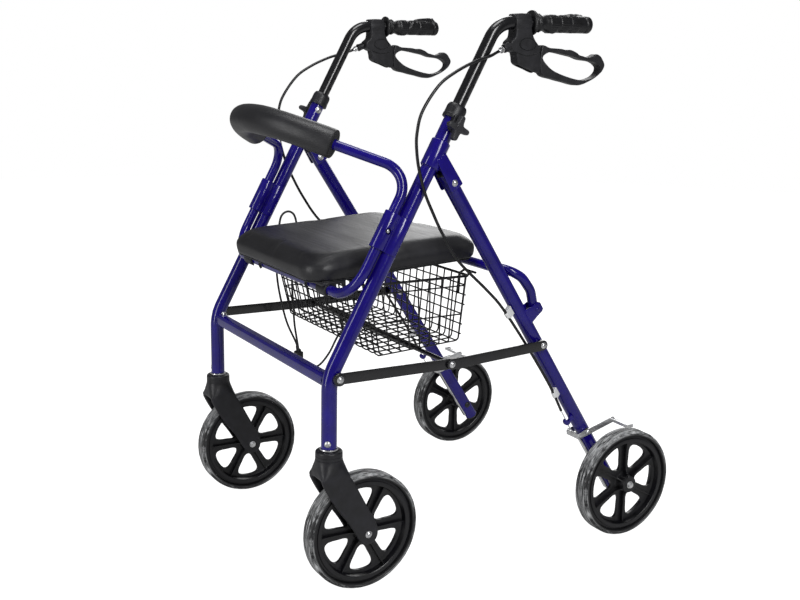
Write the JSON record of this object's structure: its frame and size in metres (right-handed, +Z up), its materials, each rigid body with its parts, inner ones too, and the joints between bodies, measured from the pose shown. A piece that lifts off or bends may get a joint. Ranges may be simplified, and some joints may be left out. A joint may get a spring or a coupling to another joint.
{
  "type": "rollator walker",
  "caption": "Folding wheeled walker with a padded flip-up seat, bow backrest, wire basket, swivel front wheels and height-adjustable handles with loop brakes.",
  "frame": {"origin": "on the floor, in the middle of the wheelbase and of the width", "axes": "+Z up, the walker rolls towards -Y, +X is the user's left"},
  "size_m": [0.622, 0.7317, 0.9355],
  "materials": {
    "frame_paint": "gloss blue-violet powder coat",
    "black_paint": "semi-gloss black",
    "black_plastic": "fine texture",
    "rim_plastic": "moulded, satin",
    "tyre_rubber": "scuffed grey-black tread",
    "grip_rubber": "ribbed matt",
    "zinc": "zinc plated",
    "seat_vinyl": "grained vinyl, satin",
    "backrest_foam": "vinyl-skinned foam",
    "seat_board": "black board",
    "basket_wire": "plastic-coated wire",
    "cable_jacket": "cable jacket",
    "pull_cord": "braided cord",
    "cord_lock": "moulded"
  },
  "bodies": {
    "front_frame": {"front_leg_left": "frame_paint", "front_leg_right": "frame_paint", "top_hinge_bracket_left": "frame_paint", "top_hinge_bracket_right": "frame_paint", "hinge_bolt_left": "zinc", "hinge_bolt_right": "zinc", "seat_clamp_left": "frame_paint", "seat_clamp_right": "frame_paint", "height_collar_left": "black_plastic", "height_collar_right": "black_plastic", "caster_bolt_left": "zinc", "caster_bolt_right": "zinc", "brake_cable_left": "cable_jacket", "brake_cable_right": "cable_jacket", "front_cross_tube": "frame_paint", "seat_front_tube": "frame_paint", "backrest_tube": "frame_paint", "backrest_pad": "backrest_foam"},
    "rear_frame": {"rear_leg_left": "frame_paint", "rear_leg_right": "frame_paint", "rear_axle_left": "zinc", "rear_axle_right": "zinc"},
    "seat": {"seat_pad": "seat_vinyl", "seat_board": "seat_board"},
    "basket": {"basket": "basket_wire"},
    "seat_bail": {"seat_bail": "frame_paint"},
    "links_front": {"front_link_left": "black_paint", "front_link_right": "black_paint", "fold_cross_rod": "black_paint", "pull_cord": "pull_cord", "cord_lock": "cord_lock"},
    "links_rear": {"rear_link_left": "black_paint", "rear_link_right": "black_paint"},
    "handle_left": {"handle_tube_left": "black_paint", "grip_left": "grip_rubber", "brake_housing_left": "black_plastic", "cable_adjuster_left": "zinc"},
    "lever_left": {"brake_lever_left": "black_plastic"},
    "knob_left": {"star_knob_left": "black_plastic"},
    "caster_left": {"caster_fork_left": "black_plastic", "front_axle_left": "zinc"},
    "front_wheel_left": {"front_rim_left": "rim_plastic", "front_tyre_left": "tyre_rubber"},
    "rear_wheel_left": {"rear_rim_left": "rim_plastic", "rear_tyre_left": "tyre_rubber"},
    "brake_arm_left": {"brake_arm_left": "zinc"},
    "handle_right": {"handle_tube_right": "black_paint", "grip_right": "grip_rubber", "brake_housing_right": "black_plastic", "cable_adjuster_right": "zinc"},
    "lever_right": {"brake_lever_right": "black_plastic"},
    "knob_right": {"star_knob_right": "black_plastic"},
    "caster_right": {"caster_fork_right": "black_plastic", "front_axle_right": "zinc"},
    "front_wheel_right": {"front_rim_right": "rim_plastic", "front_tyre_right": "tyre_rubber"},
    "rear_wheel_right": {"rear_rim_right": "rim_plastic", "rear_tyre_right": "tyre_rubber"},
    "brake_arm_right": {"brake_arm_right": "zinc"}
  },
  "joints": [
    {"name": "fold", "type": "hinge", "parent": "front_frame", "child": "rear_frame", "pos_m": [0, -0.1085, 0.6637], "axis": [-1, 0, 0], "range_deg": [0, 31.5], "deforming": ["brake_cable_left", "brake_cable_right"]},
    {"name": "links_front_turn", "type": "hinge", "parent": "front_frame", "child": "links_front", "pos_m": [0, -0.3135, 0.3665], "axis": [1, 0, 0], "range_deg": [0, 36.6], "deforming": ["pull_cord", "cord_lock"]},
    {"name": "links_rear_turn", "type": "hinge", "parent": "rear_frame", "child": "links_rear", "pos_m": [0, 0.0823, 0.375], "axis": [-1, 0, 0], "range_deg": [0, 40.8]},
    {"name": "seat_flip", "type": "hinge", "parent": "front_frame", "child": "seat", "pos_m": [0, -0.2834, 0.488], "axis": [1, 0, 0], "range_deg": [0, 59.9]},
    {"name": "basket_swing", "type": "hinge", "parent": "front_frame", "child": "basket", "pos_m": [0, -0.2834, 0.488], "axis": [1, 0, 0], "range_deg": [0, 59.9]},
    {"name": "bail_swing", "type": "hinge", "parent": "rear_frame", "child": "seat_bail", "pos_m": [0, 0.0725, 0.4386], "axis": [-1, 0, 0], "range_deg": [0, 63]},
    {"name": "handle_height_left", "type": "slide", "parent": "front_frame", "child": "handle_left", "axis": [0, 0.4756, 0.8797], "range_m": [-0.05, 0.075], "deforming": ["brake_cable_left"]},
    {"name": "brake_lever_left", "type": "hinge", "parent": "handle_left", "child": "lever_left", "pos_m": [0.2385, 0.027, 0.8817], "axis": [1, 0, 0], "range_deg": [0, 9], "stiffness_Nm_per_rad": 0.5, "springref_deg": -17.19},
    {"name": "brake_shoe_left", "type": "hinge", "parent": "rear_frame", "child": "brake_arm_left", "pos_m": [0.2385, 0.199, 0.1965], "axis": [-1, 0, 0], "range_deg": [0, 8.2]},
    {"name": "knob_turn_left", "type": "hinge", "parent": "front_frame", "child": "knob_left", "pos_m": [0.2385, -0.1137, 0.751], "axis": [1, 0, 0], "continuous": true},
    {"name": "caster_swivel_left", "type": "hinge", "parent": "front_frame", "child": "caster_left", "pos_m": [0.2385, -0.3222, 0.23], "axis": [0, 0, 1], "continuous": true},
    {"name": "front_wheel_roll_left", "type": "hinge", "parent": "caster_left", "child": "front_wheel_left", "pos_m": [0.2385, -0.2627, 0.1], "axis": [1, 0, 0], "continuous": true},
    {"name": "rear_wheel_roll_left", "type": "hinge", "parent": "rear_frame", "child": "rear_wheel_left", "pos_m": [0.2835, 0.2626, 0.1], "axis": [1, 0, 0], "continuous": true},
    {"name": "handle_height_right", "type": "slide", "parent": "front_frame", "child": "handle_right", "axis": [0, 0.4756, 0.8797], "range_m": [-0.05, 0.075], "deforming": ["brake_cable_right"]},
    {"name": "brake_lever_right", "type": "hinge", "parent": "handle_right", "child": "lever_right", "pos_m": [-0.2385, 0.027, 0.8817], "axis": [1, 0, 0], "range_deg": [0, 9], "stiffness_Nm_per_rad": 0.5, "springref_deg": -17.19},
    {"name": "brake_shoe_right", "type": "hinge", "parent": "rear_frame", "child": "brake_arm_right", "pos_m": [-0.2385, 0.199, 0.1965], "axis": [-1, 0, 0], "range_deg": [0, 8.2]},
    {"name": "knob_turn_right", "type": "hinge", "parent": "front_frame", "child": "knob_right", "pos_m": [-0.2385, -0.1137, 0.751], "axis": [1, 0, 0], "continuous": true},
    {"name": "caster_swivel_right", "type": "hinge", "parent": "front_frame", "child": "caster_right", "pos_m": [-0.2385, -0.3222, 0.23], "axis": [0, 0, 1], "continuous": true},
    {"name": "front_wheel_roll_right", "type": "hinge", "parent": "caster_right", "child": "front_wheel_right", "pos_m": [-0.2385, -0.2627, 0.1], "axis": [1, 0, 0], "continuous": true},
    {"name": "rear_wheel_roll_right", "type": "hinge", "parent": "rear_frame", "child": "rear_wheel_right", "pos_m": [-0.2835, 0.2626, 0.1], "axis": [1, 0, 0], "continuous": true}
  ],
  "couplings": [
    {"joint": "links_front_turn", "follows": "fold", "ratio": 1.161},
    {"joint": "links_rear_turn", "follows": "fold", "ratio": 1.294},
    {"joint": "seat_flip", "follows": "fold", "ratio": 1.9},
    {"joint": "basket_swing", "follows": "fold", "ratio": 1.9},
    {"joint": "bail_swing", "follows": "fold", "ratio": 2},
    {"joint": "brake_shoe_left", "follows": "brake_lever_left", "ratio": 0.889},
    {"joint": "brake_shoe_right", "follows": "brake_lever_right", "ratio": 0.889}
  ]
}
